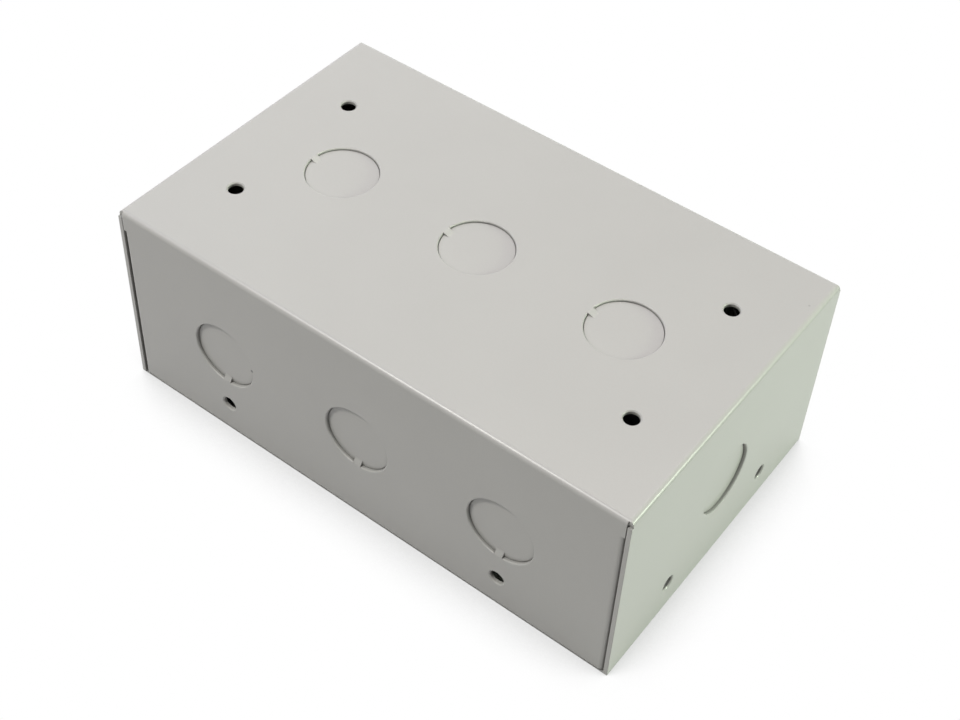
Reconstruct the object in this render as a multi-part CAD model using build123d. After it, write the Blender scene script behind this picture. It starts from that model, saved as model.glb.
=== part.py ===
from build123d import *
import os

# Surface back box: a pressed steel box that is fixed to a wall by its back panel.
# It is one sheet, cut to a blank with its holes and knockouts, then folded.
# It lies on its open front, as it would stand on a bench, so its back panel is on top.
# X runs along the box, Z points up, out of the back, and the origin is the middle of the open front.
# All sizes are in millimetres.

# Outside of the folded box
LENGTH = 162.0
WIDTH = 98.0
DEPTH = 62.0
LONG_SIDE_SHORTFALL = 0.6    # the long sides stop this far short of the end panels' free edge

# The sheet and its folds
SHEET = 1.2
FOLD_INSIDE_RADIUS = 0.25
SEAM_GAP = 0.2               # between an end panel and what lies against its inside

# Notch in the blank at each corner: an end panel's fold is narrower than the panel below it
NOTCH_WIDTH = 0.6            # the fold stops this far inside the long sides' faces
NOTCH_DEPTH = 1.95           # below the back panel's outer face

# Return flanges, folded from the ends of the long sides and lying inside the end panels
FLANGE_WIDTH = 12.0
FLANGE_RELIEF = 6.2          # a flange starts this far below the back panel's outer face
FLANGE_CLIPPED_CORNER = 2.5
WELD_DIAMETER = 4.5
WELD_DIMPLE = 0.15
WELD_SPACING = 26.0
WELD_HEIGHT = 29.0

# Knockouts: discs sheared into the sheet, each left hanging on one narrow tie
KNOCKOUT_DIAMETER = 20.4
KNOCKOUT_SLIT = 0.12
KNOCKOUT_PITCH = 46.0
KNOCKOUT_HEIGHT = 29.8       # centre above the open front, on the long sides and the ends
BACK_SINK = 0.7              # how far the discs of the back panel are pushed in
SIDE_SINK = 0.95
TIE_WIDTH = 2.4
TIE_LENGTH = 2.0
BACK_COLUMNS = 3
LONG_SIDE_COLUMNS = 3

# Punched screw holes
HOLE_DIAMETER = 4.3
ROLLED_EDGE = 0.35           # what the punch draws in round each hole on the outside
BACK_HOLES_ALONG = 127.0
BACK_HOLES_ACROSS = 46.0
LONG_SIDE_HOLES_ALONG = 92.0
END_HOLES_ACROSS = 46.0
SIDE_HOLE_HEIGHT = 10.3      # centre above the open front, on the long sides and the ends

fold_outside_radius = FOLD_INSIDE_RADIUS + SHEET
end_inside = LENGTH / 2 - SHEET
long_side_end = end_inside - SEAM_GAP
flange_top = DEPTH - FLANGE_RELIEF


def rounded_block(inset):
    """Solid block inside the box's outer faces by an inset, rounded along its four top edges."""
    length = LENGTH - 2 * inset
    width = WIDTH - 2 * inset
    height = DEPTH - inset
    along = Rectangle(length, height, align=(Align.CENTER, Align.MIN))
    across = Rectangle(width, height, align=(Align.CENTER, Align.MIN))
    along = fillet(along.vertices().group_by(Axis.Y)[-1], fold_outside_radius - inset)
    across = fillet(across.vertices().group_by(Axis.Y)[-1], fold_outside_radius - inset)
    return extrude(Plane.XZ * along, amount=width / 2, both=True) & extrude(
        Plane.YZ * across, amount=length / 2, both=True
    )


def box_between(low, high):
    """Box between two opposite corners."""
    size = [end - start for start, end in zip(low, high)]
    return Pos(*low) * Box(*size, align=(Align.MIN, Align.MIN, Align.MIN))


def corner_cut():
    """What the blank lacks at the near right corner: the notch, the seam and the room for a flange."""
    outside = -WIDTH
    side_inside = -WIDTH / 2 + SHEET
    notch_side = -WIDTH / 2 + NOTCH_WIDTH
    notch_bottom = DEPTH - NOTCH_DEPTH
    flange_start = long_side_end - fold_outside_radius
    notch = box_between((long_side_end, outside, notch_bottom), (LENGTH, notch_side, 2 * DEPTH))
    seam = box_between((long_side_end, outside, -SHEET), (end_inside, side_inside, notch_bottom))
    flange_room = box_between((flange_start, outside, -SHEET), (end_inside, side_inside, flange_top))
    return notch + seam + flange_room


def at_corners(shape):
    """A shape at the near right corner, with its mirror images at the other three."""
    pair = [shape, mirror(shape, Plane.XZ)]
    return pair + [mirror(half, Plane.YZ) for half in pair]


def return_flange():
    """The flange at the near right corner: fold, flange and the spot welds that hold it."""
    reach = fold_outside_radius + SHEET
    outline = Rectangle(reach, FLANGE_WIDTH, align=(Align.MAX, Align.MIN))
    hollow = Rectangle(reach, FLANGE_WIDTH, align=(Align.MAX, Align.MIN))
    outline = fillet(outline.vertices().sort_by(Axis.Y)[:2].sort_by(Axis.X)[-1], fold_outside_radius)
    hollow = fillet(hollow.vertices().sort_by(Axis.Y)[:2].sort_by(Axis.X)[-1], FOLD_INSIDE_RADIUS)
    section = outline - Pos(-SHEET, SHEET) * hollow
    section -= Pos(-fold_outside_radius) * Rectangle(reach, FLANGE_WIDTH, align=(Align.MAX, Align.MIN))
    height = flange_top - LONG_SIDE_SHORTFALL
    flange = extrude(section, amount=height)
    free_edge = flange.edges().filter_by(Axis.X).group_by(Axis.Y)[-1]
    flange = chamfer(free_edge, FLANGE_CLIPPED_CORNER)
    flange = Pos(long_side_end, -WIDTH / 2, LONG_SIDE_SHORTFALL) * flange
    weld_y = -WIDTH / 2 + (fold_outside_radius + FLANGE_WIDTH) / 2
    for step in (-1, 1):
        weld = Plane(
            origin=(long_side_end, weld_y, WELD_HEIGHT + step * WELD_SPACING / 2), z_dir=(1, 0, 0)
        )
        nugget = Cylinder(WELD_DIAMETER / 2, SEAM_GAP, align=(Align.CENTER, Align.CENTER, Align.MIN))
        dimple = Cylinder(WELD_DIAMETER / 2, WELD_DIMPLE, align=(Align.CENTER, Align.CENTER, Align.MIN))
        flange += weld * nugget
        flange -= weld * Pos(0, 0, -SHEET) * dimple
    return flange


def punched_hole(diameter, rounded):
    """Cutter for a hole punched from outside; the sheet's outer face is local height zero."""
    radius = diameter / 2
    lip = radius + ROLLED_EDGE
    edge_start, edge_end = (radius, -ROLLED_EDGE), (lip, 0)
    with BuildSketch(Plane.XZ) as profile:
        with BuildLine():
            Polyline((0, ROLLED_EDGE), (0, -2 * SHEET), (radius, -2 * SHEET), edge_start)
            if rounded:
                RadiusArc(edge_start, edge_end, ROLLED_EDGE)
            else:
                Line(edge_start, edge_end)
            Polyline(edge_end, (lip, ROLLED_EDGE), (0, ROLLED_EDGE))
        make_face()
    return revolve(profile.sketch, Axis.Z)


def knockout_opening():
    """Cutter for a knockout: its hole, and the notch that its tie fills, in the local +X direction."""
    notch_length = KNOCKOUT_DIAMETER / 2 + ROLLED_EDGE
    notch = Box(notch_length, TIE_WIDTH, 4 * SHEET, align=(Align.MIN, Align.CENTER, Align.CENTER))
    return punched_hole(KNOCKOUT_DIAMETER, rounded=True) + notch


def knockout_disc(sink):
    """Disc of a knockout, pushed in by its sink, and the tie that rises from it to the sheet."""
    disc_radius = KNOCKOUT_DIAMETER / 2 - KNOCKOUT_SLIT
    tie_foot = disc_radius - TIE_LENGTH
    tie_root = KNOCKOUT_DIAMETER / 2 + ROLLED_EDGE
    disc = Cylinder(disc_radius, SHEET, align=(Align.CENTER, Align.CENTER, Align.MAX))
    disc -= Pos(tie_foot, 0, 0) * Box(
        2 * TIE_LENGTH, TIE_WIDTH, 4 * SHEET, align=(Align.MIN, Align.CENTER, Align.CENTER)
    )
    with BuildSketch(Plane.XZ) as profile:
        with BuildLine():
            level = ((1, 0), (1, 0))
            top = Spline((tie_foot, -sink), (tie_root, 0), tangents=level)
            bottom = Spline((tie_foot, -sink - SHEET), (tie_root, -SHEET), tangents=level)
            Line(top @ 0, bottom @ 0)
            Line(top @ 1, bottom @ 1)
        make_face()
    return Pos(0, 0, -sink) * disc + extrude(profile.sketch, amount=TIE_WIDTH / 2, both=True)


def centred_row(count, pitch):
    """Positions of a row of features, evenly spaced about the middle of a panel."""
    return [(index - (count - 1) / 2) * pitch for index in range(count)]


def spread(spacing):
    return (-spacing / 2, spacing / 2)


# Outer faces of the panels; on the upright ones local Y points up to the back panel
back_face = Plane(origin=(0, 0, DEPTH), x_dir=(1, 0, 0), z_dir=(0, 0, 1))
long_faces = [
    Plane(origin=(0, side * WIDTH / 2, 0), x_dir=(-side, 0, 0), z_dir=(0, side, 0)) for side in (-1, 1)
]
end_faces = [
    Plane(origin=(side * LENGTH / 2, 0, 0), x_dir=(0, side, 0), z_dir=(side, 0, 0)) for side in (-1, 1)
]

# Ties: along the box on the back panel, towards the open front on the long sides,
# and towards the back panel on the ends
knockouts = []
for x in centred_row(BACK_COLUMNS, KNOCKOUT_PITCH):
    knockouts.append((back_face * Pos(x) * Rot(0, 0, 180), BACK_SINK))
for face in long_faces:
    for x in centred_row(LONG_SIDE_COLUMNS, KNOCKOUT_PITCH):
        knockouts.append((face * Pos(x, KNOCKOUT_HEIGHT) * Rot(0, 0, -90), SIDE_SINK))
for face in end_faces:
    knockouts.append((face * Pos(0, KNOCKOUT_HEIGHT) * Rot(0, 0, 90), SIDE_SINK))

screw_holes = [
    back_face * Pos(x, y) for x in spread(BACK_HOLES_ALONG) for y in spread(BACK_HOLES_ACROSS)
]
for face in long_faces:
    screw_holes += [face * Pos(x, SIDE_HOLE_HEIGHT) for x in spread(LONG_SIDE_HOLES_ALONG)]
for face in end_faces:
    screw_holes += [face * Pos(x, SIDE_HOLE_HEIGHT) for x in spread(END_HOLES_ACROSS)]

box = rounded_block(0) - rounded_block(SHEET)
box -= at_corners(corner_cut())
box -= box_between((-end_inside, -WIDTH, -SHEET), (end_inside, WIDTH, LONG_SIDE_SHORTFALL))
box += at_corners(return_flange())

box -= [place * punched_hole(HOLE_DIAMETER, rounded=False) for place in screw_holes]
box -= [place * knockout_opening() for place, sink in knockouts]
box += [place * knockout_disc(sink) for place, sink in knockouts]

os.makedirs("parts", exist_ok=True)
export_step(box, "parts/back_box.step")
print("solids", len(box.solids()), "valid", box.is_valid, "volume", round(box.volume, 1))
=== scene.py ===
import math

import bpy
from mathutils import Euler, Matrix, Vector


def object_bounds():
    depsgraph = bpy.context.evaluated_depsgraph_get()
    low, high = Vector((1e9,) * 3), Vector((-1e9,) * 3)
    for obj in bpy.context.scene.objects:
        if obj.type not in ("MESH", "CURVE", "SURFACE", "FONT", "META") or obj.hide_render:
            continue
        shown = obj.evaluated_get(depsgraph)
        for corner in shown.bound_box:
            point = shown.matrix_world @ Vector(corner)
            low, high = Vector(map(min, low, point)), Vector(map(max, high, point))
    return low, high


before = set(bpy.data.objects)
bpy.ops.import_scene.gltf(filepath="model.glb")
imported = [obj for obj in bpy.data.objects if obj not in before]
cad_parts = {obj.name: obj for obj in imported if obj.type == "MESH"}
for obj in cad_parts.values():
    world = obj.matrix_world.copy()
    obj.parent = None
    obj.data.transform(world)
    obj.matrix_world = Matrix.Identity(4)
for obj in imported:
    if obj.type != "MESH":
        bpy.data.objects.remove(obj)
cad_low, cad_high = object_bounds()

# The box is one folded sheet, so every form is in the frame.
# This script gives it its powder coat and sets the camera, the lights and the floor.
# Lengths are in metres. X runs along the box, -Y is its near long side and Z is up.

# Camera, as it stood for the photograph
IMAGE_WIDTH = 960
IMAGE_HEIGHT = 720
SENSOR_WIDTH = 36.0
LENS = 60.12
CAMERA_PLACE = (0.17486, -0.24620, 0.34853)
CAMERA_TILT = 45.234
CAMERA_ROLL = -2.903
CAMERA_TURN = 36.636
PRINCIPAL_POINT = (507.6, 282.5)
CAMERA_CLIP_START = 0.01

# Light: a softbox is (name, place, power, colour, edge length); each one points at the box
SOFTBOXES = (
    ("key", (-0.41, -0.52, 1.04), 6.5, (1.0, 0.987, 0.935), 0.20),
    ("right", (1.10, 0.58, 0.27), 7.9, (0.844, 1.0, 0.770), 0.25),
    ("rear_overhead", (-0.05, 0.45, 1.25), 2.9, (1.0, 0.86, 0.86), 0.25),
    ("right_overhead", (0.35, 0.05, 1.25), 3.0, (1.0, 1.0, 1.0), 0.90),
    ("left", (-0.80, 0.10, 1.00), 1.8, (0.56, 0.69, 1.0), 0.80),
    ("rear_left", (-0.90, 0.90, 0.50), 1.5, (1.0, 1.0, 1.0), 0.80),
)
ROOM_LIGHT = 0.06    # what the white room gives the box, as a share of what it shows

# Floor: it shows white where it is open to the sky, and its own grey close to the box
WHITE = 1.0
WHITE_COLOUR = (1.0, 1.0, 1.0)
FLOOR_COLOUR = (0.5, 0.5, 0.5)
FLOOR_LENGTH = 12.0
SHADOW_REACH = 0.03
SHADOW_DARKEST = 0.15    # openness at which the floor shows only its grey
SHADOW_END = 0.75        # openness at which it shows only white
SHADOW_SAMPLES = 12

# Powder coat
COAT_COLOUR = (0.612, 0.604, 0.580)
COAT_ROUGHNESS = 0.32
COAT_IOR = 1.5
MOTTLE = {"scale": 38.0, "detail": 3.0}
PEEL = {"scale": 620.0, "detail": 1.0, "roughness": 0.4}
GRAIN = {"scale": 2600.0, "detail": 2.0, "roughness": 0.6}
NOISE_LOW = 0.3          # nearly all of a noise lies between these two
NOISE_HIGH = 0.7
MOTTLE_IN_TONE = 0.012
GRAIN_IN_TONE = 0.01
GRAIN_IN_ROUGHNESS = 0.03
PEEL_HEIGHT = 0.000010
GRAIN_HEIGHT = 0.000002

# Edges, where the coat is thinner: found by how far a softened normal turns from the face's own
EDGE_WIDTH = 0.00025
EDGE_SAMPLES = 6
EDGE_START = 0.99
EDGE_FULL = 0.85
EDGE_TONE = 0.93
EDGE_ROUGHER = 0.08

# Painted shade in crevices, such as seams and sheared lines: the coat's colour is darkened where
# little of the surroundings is open
PAINTED_SHADE_REACH = 0.0016
PAINTED_SHADE_SAMPLES = 8
PAINTED_SHADE_FULL = 0.4
PAINTED_SHADE_START = 0.95
PAINTED_SHADE_TONE = 0.55

# Small marks on the coat: (place, radius, tone), and the share of the radius that has the full tone
MARK_CORE = 0.6
MARKS = (
    ((0.0781, 0.0368, 0.0620), 0.00035, 0.80),
    ((-0.0369, -0.0481, 0.0292), 0.00060, 0.45),
)


def opaque(colour):
    """A linear colour with full opacity, as sockets take it."""
    return (*colour, 1.0)


class Nodes:
    """Adds shader nodes to one tree and wires them by name."""

    def __init__(self, tree):
        self.tree = tree
        tree.nodes.clear()

    def add(self, kind, inputs=None, **settings):
        node = self.tree.nodes.new(kind)
        for name, value in settings.items():
            setattr(node, name, value)
        for name, value in (inputs or {}).items():
            if isinstance(value, bpy.types.NodeSocket):
                self.tree.links.new(value, node.inputs[name])
            else:
                node.inputs[name].default_value = value
        return node

    def math(self, operation, first, second=0.0, third=0.0):
        inputs = {0: first, 1: second, 2: third}
        return self.add("ShaderNodeMath", inputs, operation=operation).outputs["Value"]

    def vector(self, operation, first, second):
        """The number that a vector operation gives."""
        inputs = {0: first, 1: second}
        return self.add("ShaderNodeVectorMath", inputs, operation=operation).outputs["Value"]

    def spread(self, value, low, high, to_low=0.0, to_high=1.0, kind="LINEAR"):
        """A value from low to high, stretched to another pair of limits."""
        inputs = {
            "Value": value,
            "From Min": low,
            "From Max": high,
            "To Min": to_low,
            "To Max": to_high,
        }
        return self.add("ShaderNodeMapRange", inputs, interpolation_type=kind).outputs["Result"]

    def noise(self, place, scale, detail, roughness=0.5):
        inputs = {"Vector": place, "Scale": scale, "Detail": detail, "Roughness": roughness}
        return self.add("ShaderNodeTexNoise", inputs).outputs["Fac"]

    def vary(self, noise, middle, amount):
        """A value that follows a noise, by an amount to either side of its middle."""
        return self.spread(noise, NOISE_LOW, NOISE_HIGH, middle - amount, middle + amount)

    def bump(self, height, distance, normal):
        inputs = {"Height": height, "Distance": distance, "Strength": 1.0, "Normal": normal}
        return self.add("ShaderNodeBump", inputs).outputs["Normal"]

    def seen_directly(self):
        """1 for rays from the camera, in gloss and through glass, 0 for light on the box."""
        path = self.add("ShaderNodeLightPath")
        seen = self.math("MAXIMUM", path.outputs["Is Camera Ray"], path.outputs["Is Glossy Ray"])
        return self.math("MAXIMUM", seen, path.outputs["Is Transmission Ray"])


def powder_coat():
    """Satin powder coat on sheet steel: mottling, orange peel, thin edges, and painted shade that
    darkens its crevices.
    """
    material = bpy.data.materials.new("powder_coat")
    material.use_nodes = True
    nodes = Nodes(material.node_tree)
    place = nodes.add("ShaderNodeTexCoord").outputs["Object"]
    mottle = nodes.noise(place, **MOTTLE)
    peel = nodes.noise(place, **PEEL)
    grain = nodes.noise(place, **GRAIN)

    softened = nodes.add(
        "ShaderNodeBevel", {"Radius": EDGE_WIDTH}, samples=EDGE_SAMPLES
    ).outputs["Normal"]
    flat = nodes.add("ShaderNodeNewGeometry").outputs["Normal"]
    agreement = nodes.vector("DOT_PRODUCT", softened, flat)
    edge = nodes.spread(agreement, EDGE_START, EDGE_FULL)
    openness = nodes.add(
        "ShaderNodeAmbientOcclusion",
        {"Distance": PAINTED_SHADE_REACH},
        samples=PAINTED_SHADE_SAMPLES,
        only_local=True,
    ).outputs["AO"]

    tone = nodes.vary(mottle, 1.0, MOTTLE_IN_TONE)
    tone = nodes.math("MULTIPLY", tone, nodes.vary(grain, 1.0, GRAIN_IN_TONE))
    tone = nodes.math("MULTIPLY", tone, nodes.spread(edge, 0.0, 1.0, 1.0, EDGE_TONE))
    # Painted shade: the coat's colour is darkened in crevices, where shade falls
    painted_crevice_shade = nodes.spread(openness, PAINTED_SHADE_FULL, PAINTED_SHADE_START, PAINTED_SHADE_TONE, 1.0)
    tone = nodes.math("MULTIPLY", tone, painted_crevice_shade)
    for middle, radius, mark_tone in MARKS:
        distance = nodes.vector("DISTANCE", place, middle)
        mark = nodes.spread(distance, MARK_CORE * radius, radius, mark_tone, 1.0)
        tone = nodes.math("MULTIPLY", tone, mark)
    colour = nodes.add(
        "ShaderNodeVectorMath", {0: COAT_COLOUR, "Scale": tone}, operation="SCALE"
    ).outputs["Vector"]

    roughness = nodes.vary(grain, COAT_ROUGHNESS, GRAIN_IN_ROUGHNESS)
    roughness = nodes.math("MULTIPLY_ADD", edge, EDGE_ROUGHER, roughness)
    normal = nodes.bump(peel, PEEL_HEIGHT, softened)
    normal = nodes.bump(grain, GRAIN_HEIGHT, normal)
    shader = nodes.add(
        "ShaderNodeBsdfPrincipled",
        {"Base Color": colour, "Roughness": roughness, "Normal": normal, "IOR": COAT_IOR},
    )
    nodes.add("ShaderNodeOutputMaterial", {"Surface": shader.outputs[0]})
    return material


def stage_floor():
    """Plain pale floor that shows white round the box and keeps its soft shadow."""
    bpy.ops.mesh.primitive_plane_add(size=FLOOR_LENGTH, location=(0.0, 0.0, 0.0))
    floor = bpy.context.object
    floor.name = "floor"
    material = bpy.data.materials.new("pale_floor")
    material.use_nodes = True
    nodes = Nodes(material.node_tree)
    matt = nodes.add("ShaderNodeBsdfDiffuse", {"Color": opaque(FLOOR_COLOUR)})
    white = nodes.add("ShaderNodeEmission", {"Color": opaque(WHITE_COLOUR), "Strength": WHITE})

    place = nodes.add("ShaderNodeTexCoord").outputs["Object"]
    across = nodes.add("ShaderNodeSeparateXYZ", {"Vector": place}).outputs
    under_box = nodes.math(
        "MULTIPLY",
        nodes.math("LESS_THAN", nodes.math("ABSOLUTE", across["X"]), cad_high.x),
        nodes.math("LESS_THAN", nodes.math("ABSOLUTE", across["Y"]), cad_high.y),
    )
    openness = nodes.add(
        "ShaderNodeAmbientOcclusion", {"Distance": SHADOW_REACH}, samples=SHADOW_SAMPLES
    ).outputs["AO"]
    white_share = nodes.spread(openness, SHADOW_DARKEST, SHADOW_END, kind="SMOOTHSTEP")
    white_share = nodes.math("MULTIPLY", white_share, nodes.seen_directly())
    white_share = nodes.math("MULTIPLY", white_share, nodes.math("SUBTRACT", 1.0, under_box))
    surface = nodes.add(
        "ShaderNodeMixShader", {0: white_share, 1: matt.outputs[0], 2: white.outputs[0]}
    )
    nodes.add("ShaderNodeOutputMaterial", {"Surface": surface.outputs[0]})
    floor.data.materials.append(material)


def white_room():
    """World that looks white, and lights the box far less than it shows."""
    world = bpy.data.worlds.new("room")
    bpy.context.scene.world = world
    world.use_nodes = True
    nodes = Nodes(world.node_tree)
    strength = nodes.spread(nodes.seen_directly(), 0.0, 1.0, ROOM_LIGHT, WHITE)
    background = nodes.add(
        "ShaderNodeBackground", {"Color": opaque(WHITE_COLOUR), "Strength": strength}
    )
    nodes.add("ShaderNodeOutputWorld", {"Surface": background.outputs[0]})


def softbox(name, place, power, colour, edge_length):
    lamp = bpy.data.lights.new(name, "AREA")
    lamp.shape = "SQUARE"
    lamp.size = edge_length
    lamp.energy = power
    lamp.color = colour
    holder = bpy.data.objects.new(name, lamp)
    holder.location = place
    towards_box = (cad_low + cad_high) / 2 - Vector(place)
    holder.rotation_euler = towards_box.to_track_quat("-Z", "Y").to_euler()
    bpy.context.scene.collection.objects.link(holder)


def camera():
    lens = bpy.data.cameras.new("camera")
    lens.sensor_width = SENSOR_WIDTH
    lens.lens = LENS
    lens.shift_x = (IMAGE_WIDTH / 2 - PRINCIPAL_POINT[0]) / IMAGE_WIDTH
    lens.shift_y = (PRINCIPAL_POINT[1] - IMAGE_HEIGHT / 2) / IMAGE_WIDTH
    lens.clip_start = CAMERA_CLIP_START
    holder = bpy.data.objects.new("camera", lens)
    holder.location = CAMERA_PLACE
    angles = (CAMERA_TILT, CAMERA_ROLL, CAMERA_TURN)
    holder.rotation_euler = Euler([math.radians(angle) for angle in angles])
    bpy.context.scene.collection.objects.link(holder)
    bpy.context.scene.camera = holder


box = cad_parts["back_box"]
coat = powder_coat()
for material_slot in box.material_slots:
    material_slot.material = coat

stage_floor()
white_room()
for lamp in SOFTBOXES:
    softbox(*lamp)
camera()
bpy.context.scene.view_settings.view_transform = "Standard"
